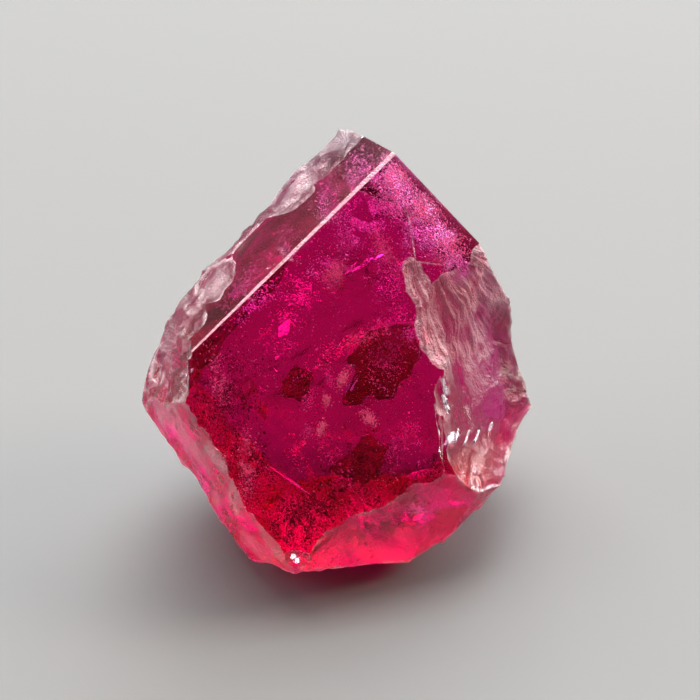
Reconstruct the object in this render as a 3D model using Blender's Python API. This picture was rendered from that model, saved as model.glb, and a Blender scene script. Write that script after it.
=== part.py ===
"""Red beryl: a broken length of a six-sided prism crystal, lying on one flattened break.

The crystal starts as a regular hexagonal prism.  Two of its side faces, the narrow bevel on
the edge they share and one flat end survive.  Every other side is a break, which a block with
a scalloped, ribbed working face cuts away.  Lengths are in metres, and MM turns millimetres
into metres.  Bearings are degrees from +X towards +Y, rises are degrees above level.
"""
import math
from dataclasses import dataclass

import bmesh
import bpy
from mathutils import Matrix, Vector, noise

MM = 0.001

# The grown crystal and how it lies.  The edge roll turns the edge that the two surviving side
# faces share about the crystal's axis, from straight up.
PRISM_SIDE = 6.0 * MM
PRISM_LENGTH = 8.6 * MM
AXIS_BEARING = 35.0
AXIS_RISE = 31.0
EDGE_ROLL = 21.0
TOP_CORNER = Vector((0.88, 2.46, 8.0)) * MM

# The bevel on the edge between the two surviving side faces narrows away from the top corner.
BEVEL_WIDTH_TOP = 0.10 * MM
BEVEL_WIDTH_LOW = 0.045 * MM
EDGE_LENGTH = 5.75 * MM

# Every block that cuts a break.
BLOCK_WIDTH = 15.0 * MM
BLOCK_HEIGHT = 9.0 * MM
BLOCK_CELL = 0.30 * MM

# The relief of a break, in millimetres.  A dome falls to nothing at its radius and stops
# curving at its reach.  A scallop is a shallow bowl, and its level keeps the mean height at zero.
DOME_RADIUS = 3.0
DOME_REACH = 5.0
SCALLOP_LEVEL = 0.3
HACKLE_DRIFT = 0.12
HACKLE_REACH = 1.5
LEDGE_RUN = Vector((0.8, 0.6, 0.0))
LEDGE_WANDER = 0.5
LEDGE_WANDER_SIZE = 1.25
GRAIN_SIZE = 0.45
GRAIN_OCTAVES = 3
SEED_SPACING = 7.3

# A flake scar is cut by a ball of this many subdivisions, whose radius is this uneven.
BALL_DETAIL = 4
BALL_UNEVENNESS = 0.35
BALL_LUMP = 0.8

# The floor of the flattened break that the crystal rests on.
REST_HEIGHT = 0.0 * MM

BERYL_RED = (0.60, 0.01, 0.10, 1.0)
BERYL_IOR = 1.57


@dataclass
class Break:
    """One break: the middle of its surface, which way it faces and how rough it is."""

    name: str
    middle: tuple
    bearing: float
    rise: float
    dome: float = 0.0
    scallop_size: float = 1.6
    scallop_depth: float = 0.25
    rib_spacing: float = 0.7
    rib_height: float = 0.0
    spring: tuple = None
    hackle_height: float = 0.0
    hackle_count: float = 14.0
    ledge_height: float = 0.0
    ledge_spacing: float = 0.8
    grain: float = 0.04
    seed: float = 0.0


# Middles, springs and heights are in millimetres.
BREAKS = (
    Break("break_right", (3.40, 0.75, 3.43), -30, 24, dome=-1.05, scallop_size=1.9, scallop_depth=0.16,
          hackle_height=0.14, spring=(1.2, 1.45, 6.4), seed=1.0),
    Break("break_left_upper", (-3.83, 0.15, 4.13), -166, 19, dome=-0.3, scallop_size=1.1,
          scallop_depth=0.2, ledge_height=0.14, ledge_spacing=0.55, seed=2.0),
    Break("break_left_lower", (-2.60, -1.15, 2.3), -142, -15, dome=-0.2, scallop_size=2.4,
          scallop_depth=0.15, rib_height=0.03, seed=3.0),
    Break("break_front_low", (1.2, -1.61, 1.49), -68, -3, dome=-0.35, scallop_size=2.2,
          scallop_depth=0.2, rib_height=0.03, spring=(2.2, -0.7, 2.6), seed=4.0),
    Break("break_upper_right", (2.83, 2.57, 5.14), 30, 12, dome=0.35, scallop_size=1.3,
          scallop_depth=0.12, seed=5.0),
    Break("break_top_back", (-0.65, 3.05, 7.1), 178, 52, dome=0.0, scallop_size=1.2,
          scallop_depth=0.16, hackle_height=0.04, spring=(0.3, 3.4, 7.8), seed=6.0),
    Break("break_back_left", (-1.80, 3.27, 5.87), 145, 20, dome=0.15, scallop_size=1.3,
          scallop_depth=0.2, seed=7.0),
    Break("break_back_high", (0.6, 4.8, 5.6), 80, 8, dome=0.3, scallop_size=1.8, seed=14.0),
    Break("break_back_low", (0.2, 3.95, 2.4), 96, -28, dome=0.3, scallop_size=2.0,
          hackle_height=0.08, spring=(0.0, 4.4, 4.4), seed=8.0),
    Break("break_right_back", (3.72, 2.09, 3.11), 23, 3, dome=0.2, scallop_size=1.7, seed=9.0),
    Break("break_left_back", (-4.1, 1.93, 3.6), 160, 12, dome=0.2, scallop_size=1.6, seed=10.0),
    Break("break_under_front", (-0.2, -2.0, 0.94), -92, -60, dome=0.1, scallop_size=1.5,
          scallop_depth=0.12, seed=11.0),
    Break("break_under_left", (-3.15, 0.03, 1.66), -178, -42, dome=0.2, scallop_size=1.5,
          scallop_depth=0.14, seed=12.0),
    Break("break_under_right", (2.27, -0.26, 1.2), -14, -49, dome=0.25, scallop_size=1.5,
          scallop_depth=0.14, seed=13.0),
)


@dataclass
class Scoop:
    """A small shell-shaped flake scar: its middle, which way it faces, its size and its lean.

    It is `stretch` times longer than wide, and its length leans by `lean` degrees from upright.
    """

    name: str
    middle: tuple
    bearing: float
    rise: float
    width: float
    depth: float
    stretch: float = 1.0
    lean: float = 0.0
    seed: float = 0.0


SCOOPS = (
    Scoop("scoop_fan", (2.28, 0.85, 5.12), -70, 31, width=2.5, depth=0.42, lean=-20, seed=21.0),
    Scoop("scoop_spring", (1.34, 1.10, 5.8), -74, 33, width=0.5, depth=0.12, stretch=2.4, lean=10,
          seed=22.0),
    Scoop("scoop_tip", (-1.05, -2.3, 1.35), -80, -5, width=0.8, depth=0.15, stretch=0.7, lean=-25,
          seed=24.0),
    Scoop("scoop_window", (1.94, -0.07, 3.81), -60, 30, width=0.55, depth=0.25, stretch=1.7, lean=-12,
          seed=23.0),
)


def direction(bearing, rise):
    """The unit vector with this bearing and rise, in degrees."""
    around = math.radians(bearing)
    above = math.radians(rise)
    return Vector((math.cos(above) * math.cos(around), math.cos(above) * math.sin(around), math.sin(above)))


def crystal_frame():
    """The prism's own axes: Z along the crystal, Y out of the edge the two side faces share."""
    along = direction(AXIS_BEARING, AXIS_RISE)
    highest = (Vector((0, 0, 1)) - along * along.z).normalized()
    outward = highest.copy()
    outward.rotate(Matrix.Rotation(math.radians(EDGE_ROLL), 3, along))
    across = outward.cross(along)
    return Matrix((across, outward, along)).transposed()


def clear_scene():
    """Remove what the scene holds at the start."""
    for thing in list(bpy.data.objects):
        bpy.data.objects.remove(thing, do_unlink=True)


def new_collection(name):
    """A collection in the scene."""
    collection = bpy.data.collections.new(name)
    bpy.context.scene.collection.children.link(collection)
    return collection


def new_object(name, shape, collection):
    """An object from a bmesh, put in a collection."""
    mesh = bpy.data.meshes.new(name)
    shape.to_mesh(mesh)
    shape.free()
    thing = bpy.data.objects.new(name, mesh)
    collection.objects.link(thing)
    return thing


def prism_with_bevel():
    """The grown prism with its flat end at the top corner and a bevel on the surviving edge."""
    axes = crystal_frame()
    shape = bmesh.new()
    bmesh.ops.create_cone(shape, cap_ends=True, segments=6, radius1=PRISM_SIDE, radius2=PRISM_SIDE,
                          depth=PRISM_LENGTH)
    corner = Vector((0.0, PRISM_SIDE, PRISM_LENGTH / 2))
    bmesh.ops.translate(shape, verts=shape.verts, vec=-corner)
    # A bevel of width w across a 120 degree edge cuts the corner off at w / (2 tan 60) below it.
    depth_top = BEVEL_WIDTH_TOP / (2 * math.tan(math.radians(60)))
    depth_low = BEVEL_WIDTH_LOW / (2 * math.tan(math.radians(60)))
    slope = (depth_top - depth_low) / EDGE_LENGTH
    bevel = bmesh.ops.bisect_plane(shape, geom=shape.verts[:] + shape.edges[:] + shape.faces[:],
                                   plane_co=(0.0, -depth_top, 0.0), plane_no=(0.0, 1.0, slope),
                                   clear_outer=True)
    cut = [item for item in bevel["geom_cut"] if isinstance(item, bmesh.types.BMEdge)]
    bmesh.ops.edgeloop_fill(shape, edges=cut)
    bmesh.ops.transform(shape, verts=shape.verts, matrix=axes.to_4x4())
    bmesh.ops.translate(shape, verts=shape.verts, vec=TOP_CORNER)
    bmesh.ops.recalc_face_normals(shape, faces=shape.faces)
    return shape


def surface_height(x, y, spring, rules):
    """How far a break's surface stands out of its plane at a spot, all in millimetres.

    Ribs circle the spring, the spot where the crack began, and hackles run out from it.
    """
    place = Vector((x, y, rules.seed * SEED_SPACING))
    dome = rules.dome * (1.0 - (min(math.hypot(x, y), DOME_REACH) / DOME_RADIUS) ** 2)
    nearest = noise.voronoi(place / rules.scallop_size)[0][0]
    scallop = rules.scallop_depth * 2.0 * (nearest * nearest - SCALLOP_LEVEL)
    reach = math.hypot(x - spring.x, y - spring.y)
    angle = math.atan2(y - spring.y, x - spring.x)
    rib = rules.rib_height * math.cos(2 * math.pi * reach / rules.rib_spacing)
    around = rules.hackle_count / 4
    ray = Vector((math.cos(angle), math.sin(angle), HACKLE_DRIFT * reach)) * around
    hackle = rules.hackle_height * min(reach, HACKLE_REACH) * noise.noise(ray + Vector((0, 0, rules.seed)))
    wander = LEDGE_WANDER * noise.noise(place / LEDGE_WANDER_SIZE)
    step = (LEDGE_RUN.dot(Vector((x, y, 0.0))) + wander) / rules.ledge_spacing
    ledge = rules.ledge_height * (step - math.floor(step))
    grain = rules.grain * noise.fractal(place / GRAIN_SIZE, 0.8, 2.0, GRAIN_OCTAVES)
    return dome + scallop + rib + hackle + ledge + grain


def break_block(rules, collection):
    """A closed block whose lower face is the shape of one break."""
    cells = round(BLOCK_WIDTH / BLOCK_CELL)
    turn = direction(rules.bearing, rules.rise).to_track_quat("Z", "Y").to_matrix().to_4x4()
    place = Matrix.Translation(Vector(rules.middle) * MM) @ turn
    spring = place.inverted() @ (Vector(rules.spring or rules.middle) * MM) / MM
    shape = bmesh.new()
    bmesh.ops.create_grid(shape, x_segments=cells, y_segments=cells, size=BLOCK_WIDTH / 2)
    rim = [edge for edge in shape.edges if edge.is_boundary]
    for vert in shape.verts:
        if not vert.is_boundary:
            vert.co.z = surface_height(vert.co.x / MM, vert.co.y / MM, spring, rules) * MM
    walls = bmesh.ops.extrude_edge_only(shape, edges=rim)["geom"]
    for item in walls:
        if isinstance(item, bmesh.types.BMVert):
            item.co.z = BLOCK_HEIGHT
    lid = [item for item in walls if isinstance(item, bmesh.types.BMEdge)]
    bmesh.ops.edgeloop_fill(shape, edges=lid)
    bmesh.ops.triangulate(shape, faces=shape.faces)
    bmesh.ops.transform(shape, verts=shape.verts, matrix=place)
    bmesh.ops.recalc_face_normals(shape, faces=shape.faces)
    return new_object(rules.name, shape, collection)


def scoop_ball(rules, collection):
    """A slightly uneven ball that dips below a surface to leave a shell-shaped scar."""
    half = rules.width / 2
    radius = (half * half + rules.depth * rules.depth) / (2 * rules.depth)
    facing = direction(rules.bearing, rules.rise)
    centre = Vector(rules.middle) + facing * (radius - rules.depth)
    shape = bmesh.new()
    bmesh.ops.create_icosphere(shape, subdivisions=BALL_DETAIL, radius=radius * MM)
    for vert in shape.verts:
        place = vert.co / MM / (rules.width * BALL_LUMP) + Vector((rules.seed, 0, 0))
        vert.co *= 1.0 + BALL_UNEVENNESS * rules.depth / radius * noise.noise(place)
        vert.co.y *= rules.stretch
    lean = Matrix.Rotation(math.radians(rules.lean), 4, "Z")
    turn = facing.to_track_quat("Z", "Y").to_matrix().to_4x4()
    bmesh.ops.transform(shape, verts=shape.verts, matrix=Matrix.Translation(centre * MM) @ turn @ lean)
    return new_object(rules.name, shape, collection)


def rest_block(collection):
    """A plain box below the level that the crystal rests on."""
    shape = bmesh.new()
    bmesh.ops.create_cube(shape, size=2 * BLOCK_WIDTH)
    bmesh.ops.translate(shape, verts=shape.verts, vec=(0.0, 0.0, REST_HEIGHT - BLOCK_WIDTH))
    return new_object("rest_level", shape, collection)


def cut_away(solid, cutter):
    """Take a cutter out of the solid and hide the cutter."""
    modifier = solid.modifiers.new(cutter.name, "BOOLEAN")
    modifier.operation = "DIFFERENCE"
    modifier.solver = "EXACT"
    modifier.object = cutter
    cutter.parent = solid.parent
    cutter.hide_render = True
    cutter.display_type = "WIRE"


def beryl_material():
    """Clear red beryl, glossy as its grown faces are."""
    material = bpy.data.materials.new("red_beryl")
    material.use_nodes = True
    shader = material.node_tree.nodes["Principled BSDF"]
    shader.inputs["Base Color"].default_value = BERYL_RED
    shader.inputs["Roughness"].default_value = 0.08
    shader.inputs["Metallic"].default_value = 0.0
    shader.inputs["IOR"].default_value = BERYL_IOR
    shader.inputs["Transmission Weight"].default_value = 0.6
    material.diffuse_color = BERYL_RED
    return material


def lowest_middle(thing):
    """The middle of the underside of an object's box, as it is after its modifiers."""
    bpy.context.view_layer.update()
    finished = thing.evaluated_get(bpy.context.evaluated_depsgraph_get())
    corners = [finished.matrix_world @ vert.co for vert in finished.data.vertices]
    low = [min(corner[axis] for corner in corners) for axis in range(3)]
    high = [max(corner[axis] for corner in corners) for axis in range(3)]
    return Vector(((low[0] + high[0]) / 2, (low[1] + high[1]) / 2, low[2]))


def main():
    """Build the crystal and stand the middle of its underside on the origin."""
    clear_scene()
    stones = new_collection("red_beryl_crystal")
    cutters = new_collection("cutters")
    lie = bpy.data.objects.new("lie", None)
    stones.objects.link(lie)
    crystal = new_object("crystal", prism_with_bevel(), stones)
    crystal.parent = lie
    crystal.data.materials.append(beryl_material())
    for rules in BREAKS:
        cut_away(crystal, break_block(rules, cutters))
    for rules in SCOOPS:
        cut_away(crystal, scoop_ball(rules, cutters))
    cut_away(crystal, rest_block(cutters))
    lie.location = -lowest_middle(crystal)
    bpy.context.view_layer.update()


main()
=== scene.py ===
"""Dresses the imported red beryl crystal: its breaks, cracks, bruised edges and colour.

Lengths are in metres, and MM turns millimetres into metres.
"""
import math
import random
from dataclasses import dataclass

import bmesh
import bpy
from bpy.props import FloatProperty, PointerProperty, StringProperty
from mathutils import Matrix, Vector, kdtree, noise
from mathutils.bvhtree import BVHTree


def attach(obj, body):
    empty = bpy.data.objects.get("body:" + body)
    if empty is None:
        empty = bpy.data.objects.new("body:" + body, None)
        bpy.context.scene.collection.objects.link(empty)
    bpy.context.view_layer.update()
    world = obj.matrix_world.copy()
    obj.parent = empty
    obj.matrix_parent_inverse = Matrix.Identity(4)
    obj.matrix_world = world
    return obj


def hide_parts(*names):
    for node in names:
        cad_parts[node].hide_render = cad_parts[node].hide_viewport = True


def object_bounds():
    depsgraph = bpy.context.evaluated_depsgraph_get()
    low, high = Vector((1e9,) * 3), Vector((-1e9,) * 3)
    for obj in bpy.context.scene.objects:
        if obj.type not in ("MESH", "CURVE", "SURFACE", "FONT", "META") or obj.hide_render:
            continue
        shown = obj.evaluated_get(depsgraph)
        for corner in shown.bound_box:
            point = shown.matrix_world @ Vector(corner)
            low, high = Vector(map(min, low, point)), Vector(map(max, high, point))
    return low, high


bl_info = {
    "name": "Red Beryl Crystal",
    "version": (1, 0, 0),
    "blender": (4, 5, 0),
    "location": "View3D > Sidebar > Beryl",
    "description": "Gives a broken red beryl crystal its breaks, cracks, bruised edges and colour",
    "category": "Add Mesh",
}

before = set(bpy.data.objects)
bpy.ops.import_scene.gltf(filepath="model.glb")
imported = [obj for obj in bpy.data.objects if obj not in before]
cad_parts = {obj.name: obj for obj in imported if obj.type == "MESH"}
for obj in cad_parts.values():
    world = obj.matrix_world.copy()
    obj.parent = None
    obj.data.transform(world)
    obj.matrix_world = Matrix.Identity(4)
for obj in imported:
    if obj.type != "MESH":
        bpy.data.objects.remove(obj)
CAD_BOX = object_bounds()
MM = 0.001
NODE = "crystal"
STONE_NAME = "red_beryl_stone"


def direction(bearing, rise):
    """The unit vector with this bearing from +X towards +Y and this rise, in degrees."""
    around, above = math.radians(bearing), math.radians(rise)
    level = math.cos(above)
    return Vector((level * math.cos(around), level * math.sin(around), math.sin(above)))


# ---- The crystal's flat faces, read from the frame ----

SAME_NORMAL = 0.9999
SAME_PLANE = 0.02 * MM
FLAT_FACE_AREA = 1.0 * MM * MM


@dataclass
class Flat:
    """A flat face: its area, which way it faces and how far its plane is from the origin."""

    area: float
    normal: Vector
    offset: float


def flat_faces():
    """The crystal's flat faces, the largest first."""
    flats = []
    for face in sorted(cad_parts[NODE].data.polygons, key=lambda face: -face.area):
        offset = face.normal.dot(face.center)
        for flat in flats:
            if face.normal.dot(flat.normal) > SAME_NORMAL and abs(offset - flat.offset) < SAME_PLANE:
                flat.area += face.area
                break
        else:
            flats.append(Flat(face.area, face.normal.copy(), offset))
    large = [flat for flat in flats if flat.area > FLAT_FACE_AREA]
    return sorted(large, key=lambda flat: -flat.area)


def meeting_point(*flats):
    """The point that three flat faces share."""
    rows = Matrix([flat.normal for flat in flats])
    return rows.inverted() @ Vector([flat.offset for flat in flats])


# The front and the side are faces of the prism, the end is its flat end, and it lies on the rest.
FLATS = flat_faces()
FRONT, END, REST, SIDE = FLATS
# How frosted each of these is: the front is bright, and the end is lightly etched.
FLAT_FROST = (0.0, 0.35, 0.3, 0.08)
TOP_CORNER = meeting_point(FRONT, END, SIDE)
# Along the edge from the top corner, and down the front face square to that edge.
ALONG_EDGE = FRONT.normal.cross(SIDE.normal).normalized()
DOWN_FACE = ALONG_EDGE.cross(FRONT.normal).normalized()
if ALONG_EDGE.z > 0:
    ALONG_EDGE.negate()
if DOWN_FACE.z > 0:
    DOWN_FACE.negate()


def behind_front(along, down, depth):
    """A point by how far along the top edge, down the front face and behind it, in millimetres."""
    place = ALONG_EDGE * along + DOWN_FACE * down - FRONT.normal * depth
    return TOP_CORNER + place * MM


# ---- Materials ----


def linear(code):
    """A colour for a shader from an sRGB hex code."""
    shares = [int(code[place:place + 2], 16) / 255 for place in (0, 2, 4)]
    parts = [share / 12.92 if share <= 0.04045 else ((share + 0.055) / 1.055) ** 2.4
             for share in shares]
    return (*parts, 1.0)


def add_node(tree, kind, settings=None, links=None):
    """Add a node with its settings, by attribute or input name, and links to its inputs."""
    node = tree.nodes.new(kind)
    for name, value in (settings or {}).items():
        if isinstance(name, str) and hasattr(node, name):
            setattr(node, name, value)
        else:
            node.inputs[name].default_value = value
    for name, source in (links or {}).items():
        tree.links.new(source, node.inputs[name])
    return node


def new_material(name):
    """An empty node material."""
    material = bpy.data.materials.new(name)
    material.use_nodes = True
    material.node_tree.nodes.clear()
    return material


# Sizes of the patterns on the breaks. The crumbs and pits are drawn coarser than real, to show.
MOTTLE_SIZE = 0.45 * MM
CRUMB_SIZE = 0.04 * MM
PIT_SIZE = 0.05 * MM
PIT_DEPTH = 0.06 * MM
# How many streaks a radian of a break's fan has, and how often a streak bears a bright thread. A thread
# is paler in colour: partly a crushed ridge, partly a painted highlight.
STREAKS_IN_RADIAN = 30.0
THREAD_STEP = 0.06
THREAD_EDGE = 0.045
THREAD_WHITENESS = 0.9
# Frost up to this amount roughens a break without whitening it.
CLEAR_FROST = 0.5


def hackle_streaks(tree):
    """The streaks that fan out over a break, and the bright threads along some of them, which are
    partly painted highlight.
    """
    fan = add_node(tree, "ShaderNodeAttribute", {"attribute_name": "fan"}).outputs["Vector"]
    rays = add_node(tree, "ShaderNodeMapping", {"Scale": (STREAKS_IN_RADIAN, 1.0, 1.0)},
                    {"Vector": fan}).outputs["Vector"]
    streak = add_node(tree, "ShaderNodeTexNoise", {"Scale": 1.0, "Detail": 4.0, "Distortion": 0.6},
                      {"Vector": rays}).outputs["Fac"]
    fold = add_node(tree, "ShaderNodeMath", {"operation": "PINGPONG", 1: THREAD_STEP},
                    {0: streak}).outputs[0]
    highlight_thread = add_node(tree, "ShaderNodeMapRange", {"From Min": THREAD_EDGE, "From Max": THREAD_STEP},
                      {"Value": fold}).outputs["Result"]
    return streak, highlight_thread


def milky_patches(tree, place, frost, highlight_thread):
    """How milky a frosted break is: in patches, and most along its bright threads, which are partly
    painted highlight.
    """
    mottle = add_node(tree, "ShaderNodeTexNoise", {"Scale": 1 / MOTTLE_SIZE, "Detail": 5.0},
                      {"Vector": place}).outputs["Fac"]
    patch = add_node(tree, "ShaderNodeMapRange",
                     {"From Min": 0.42, "From Max": 0.64, "To Min": 0.35, "To Max": 0.85},
                     {"Value": mottle}).outputs["Result"]
    crest = add_node(tree, "ShaderNodeMath", {"operation": "MULTIPLY", 1: THREAD_WHITENESS},
                     {0: highlight_thread}).outputs[0]
    cover = add_node(tree, "ShaderNodeMath", {"operation": "MAXIMUM"},
                     {0: patch, 1: crest}).outputs[0]
    milky = add_node(tree, "ShaderNodeMapRange", {"From Min": CLEAR_FROST},
                     {"Value": frost}).outputs["Result"]
    veil = add_node(tree, "ShaderNodeMath", {"operation": "MULTIPLY"}, {0: milky, 1: cover})
    return veil.outputs[0]


def bruised_crumbs(tree, place):
    """How white the crushed crumbs of a bruise are."""
    bruise = add_node(tree, "ShaderNodeAttribute", {"attribute_name": "bruise"}).outputs["Fac"]
    crumbs = add_node(tree, "ShaderNodeTexNoise", {"Scale": 1 / CRUMB_SIZE, "Detail": 2.0},
                      {"Vector": place}).outputs["Fac"]
    crushed = add_node(tree, "ShaderNodeMath", {"operation": "MULTIPLY"}, {0: bruise, 1: crumbs})
    return crushed.outputs[0]


def skin_colour(tree, settings, skin, whiteness):
    """White where light passes clean through, pink where a break is milky, paler where crushed and
    along the threads, where the paleness is partly painted highlight.
    """
    pale = add_node(tree, "ShaderNodeMix",
                    {"data_type": "RGBA", 6: linear(settings.milky_colour),
                     7: linear(settings.crushed_and_highlight_colour)}, {"Factor": whiteness}).outputs[2]
    tint = add_node(tree, "ShaderNodeMix", {"data_type": "RGBA", 6: linear("FFFFFF")},
                    {"Factor": skin})
    tree.links.new(pale, tint.inputs[7])
    return tint.outputs[2]


def beryl_material(name, settings, solid=True):
    """Clear manganese-red beryl: grown faces glossy, breaks frosted, colour deepening with depth."""
    material = new_material(name)
    tree = material.node_tree
    place = add_node(tree, "ShaderNodeTexCoord").outputs["Object"]
    frost = add_node(tree, "ShaderNodeAttribute", {"attribute_name": "frost"}).outputs["Fac"]
    streak, highlight_thread = hackle_streaks(tree)
    veil = milky_patches(tree, place, frost, highlight_thread)
    crushed = bruised_crumbs(tree, place)
    skin = add_node(tree, "ShaderNodeMath", {"operation": "MAXIMUM"},
                    {0: veil, 1: crushed}).outputs[0]
    # Paler where crushed, and along the threads as a painted highlight.
    whiteness = add_node(tree, "ShaderNodeMath", {"operation": "MAXIMUM"},
                         {0: highlight_thread, 1: crushed}).outputs[0]
    clear = add_node(tree, "ShaderNodeMapRange", {"To Min": 1.0, "To Max": 0.32},
                     {"Value": skin}).outputs["Result"]
    shine = add_node(tree, "ShaderNodeMath", {"operation": "MULTIPLY", 1: 0.1}, {0: skin}).outputs[0]
    roughness = add_node(tree, "ShaderNodeMapRange", {"To Min": 0.03, "To Max": 0.6},
                         {"Value": frost}).outputs["Result"]
    pits = add_node(tree, "ShaderNodeTexNoise", {"Scale": 1 / PIT_SIZE, "Detail": 3.0},
                    {"Vector": place}).outputs["Fac"]
    relief = add_node(tree, "ShaderNodeMath", {"operation": "ADD"}, {0: pits, 1: streak}).outputs[0]
    bump = add_node(tree, "ShaderNodeBump", {"Distance": PIT_DEPTH},
                    {"Strength": frost, "Height": relief})
    shader = add_node(
        tree, "ShaderNodeBsdfPrincipled",
        {"IOR": settings.beryl_ior, "Coat Roughness": 0.2, "Coat IOR": 2.0},
        {"Base Color": skin_colour(tree, settings, skin, whiteness), "Transmission Weight": clear,
         "Roughness": roughness, "Coat Weight": shine, "Normal": bump.outputs["Normal"]})
    output = add_node(tree, "ShaderNodeOutputMaterial", None, {"Surface": shader.outputs[0]})
    if solid:
        passed = linear(settings.passed_colour)
        depth = add_node(tree, "ShaderNodeVolumeAbsorption",
                         {"Color": passed, "Density": settings.colour_density})
        tree.links.new(depth.outputs[0], output.inputs["Volume"])
    return material


def floor_material():
    """Matt pale card, which gives the eye only a soft shadow."""
    material = new_material("pale_card_matt")
    tree = material.node_tree
    colour = linear(bpy.context.scene.beryl_studio.floor_colour)
    shader = add_node(tree, "ShaderNodeBsdfPrincipled",
                      {"Base Color": colour, "Roughness": 0.9, "Specular IOR Level": 0.2})
    add_node(tree, "ShaderNodeOutputMaterial", None, {"Surface": shader.outputs[0]})
    return material


# ---- Settings ----


class BerylStoneSettings(bpy.types.PropertyGroup):
    """The crystal's colours and how coarsely its breaks are modelled."""

    passed_colour: StringProperty(name="Passed colour", default="F600D9",
                                  description="sRGB hex of the light that the crystal lets through")
    colour_density: FloatProperty(name="Colour density", default=1750.0, min=0.0,
                                  description="Strength of the absorption for each metre")
    milky_colour: StringProperty(name="Milky colour", default="FF6A94",
                                 description="sRGB hex of the milky patches on the breaks")
    # This colour paints the crushed bruises, and also the highlight painted along the threads of the
    # breaks.
    crushed_and_highlight_colour: StringProperty(name="Crushed colour", default="FFC8D6",
                                   description="sRGB hex of bruises and of the threads on the breaks")
    pale_speck_colour: StringProperty(name="Pale speck colour", default="FFA4B4",
                                      description="sRGB hex of the pale dust in the crystal")
    # The dark specks paint shade: this colour darkens where the crystal looks deeper crimson.
    painted_shade_speck_colour: StringProperty(name="Dark speck colour", default="5A0016",
                                      description="sRGB hex of the dark dust in the crystal")
    beryl_ior: FloatProperty(name="Beryl IOR", default=1.57, min=1.0,
                             description="How strongly beryl bends light")
    coarseness: FloatProperty(name="Coarseness of the breaks", default=1.0, min=0.5,
                              description="Scales the longest edge of a triangle on the breaks")


class BerylStudioSettings(bpy.types.PropertyGroup):
    """The floor, the lights and the camera."""

    floor_colour: StringProperty(name="Floor colour", default="636363",
                                 description="sRGB hex of the pale card")
    lens: FloatProperty(name="Lens", default=110.0, min=1.0,
                        description="Focal length in millimetres on a 36 mm sensor")
    view_rise: FloatProperty(name="View rise", default=math.radians(33.0), subtype="ANGLE",
                             description="How far the camera looks down")
    view_distance: FloatProperty(name="View distance", default=42.78 * MM, unit="LENGTH",
                                 precision=4, description="From the camera to what it looks at")


# ---- The crystal ----

MERGE_DISTANCE = 0.005 * MM
CUTTING_ROUNDS = 6
MENDING_ROUNDS = 6
SHARP_ANGLE = math.radians(28)
SMOOTH_SHADED_ANGLE = math.radians(35)
SMOOTHING_PASSES = 12
SMOOTHING_SHARE = 0.5
# How nearly a face's normal follows that of a flat face or of the bevel, and the bevel's reach.
FLAT_LIKENESS = 0.999
BEVEL_LIKENESS = 0.995
BEVEL_REACH = 0.1 * MM

# From here to the zones, lengths are in millimetres.
SWELL_SIZE = 0.9
# The bowls lie on a grid that is pulled about by up to this much.
WARP = 0.25
WARP_SIZE = 0.8
BOWL_LEVEL = 0.3
SCALLOP_SIZE = 0.55
FINE_SCALLOP_SIZE = 0.21
FINE_SCALLOP_SHARE = 0.4
FINE_SCALLOP_SHIFT = Vector((9, 4, 2))
GRAIN_SIZE = 0.10
# Hackles grow to their full height, run straight but for a slow wander, and then die away.
HACKLE_FINENESS = 7.0
HACKLE_WANDER = 0.35
HACKLE_LEVEL = 0.4
HACKLE_SHARE = 0.5
HACKLE_GROWTH = 1.2
HACKLE_END = 4.2
HACKLE_FADE = 2.5
HACKLE_LEFT = 0.04
# Each set of hackles: how much finer than the first it is, and how high.
HACKLES = ((1.0, 3.0), (2.3, 1.8), (5.1, 1.0))
# The relief fades out, and the bruises fade in, this near to a rim.
RIM_FADE = 0.08
RIM_BRUISE = 0.09
BRUISE_PATCH_SIZE = 0.3
BRUISE_LEVEL, BRUISE_CONTRAST = 0.5, 1.3
FROTH_REACH = 1.2
FROST_REACH = 5.0
# Frost comes in patches of this size, from this share of its amount up by that much.
FROST_PATCH_SIZE = 0.7
FROST_LEAST, FROST_MORE = 0.2, 1.6
# How sharply one zone's relief gives way to the next, and the least share of a zone that counts.
ZONE_SHARPNESS = 10
CLAIM_WEIGHT = 4.0
CLAIM_FACING = 0.2
LEAST_SHARE = 0.04
SEED_SPACING = 3.7
# For the front, the end, the rest and the side: each wobble of the rim as (size, amount).
RIM_WOBBLE = (
    ((0.3, 0.07), (0.11, 0.035)),
    ((0.3, 0.04),),
    ((1.1, 0.35), (0.4, 0.1)),
    ((0.3, 0.07), (0.12, 0.03)),
)


@dataclass
class Zone:
    """A break and its fine surface: which way it faces, where its crack began and how frosted it is.

    The spring, where the crack began, is (along, down, depth) from the top corner. Frost runs from
    `frost` at the spring to `frost_far` at FROST_REACH. Scallop, hackle, grain and swell are heights,
    `cell` is the longest edge of a triangle, and `froth` whitens what is near the spring. The zone
    takes the faces within `claim` of its spring that look its way. All lengths are in millimetres.
    """

    name: str
    bearing: float
    rise: float
    spring: tuple
    frost: float = 0.45
    frost_far: float = 0.35
    scallop: float = 0.06
    hackle: float = 0.02
    grain: float = 0.006
    cell: float = 0.13
    swell: float = 0.09
    froth: float = 0.0
    claim: float = 0.0


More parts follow.
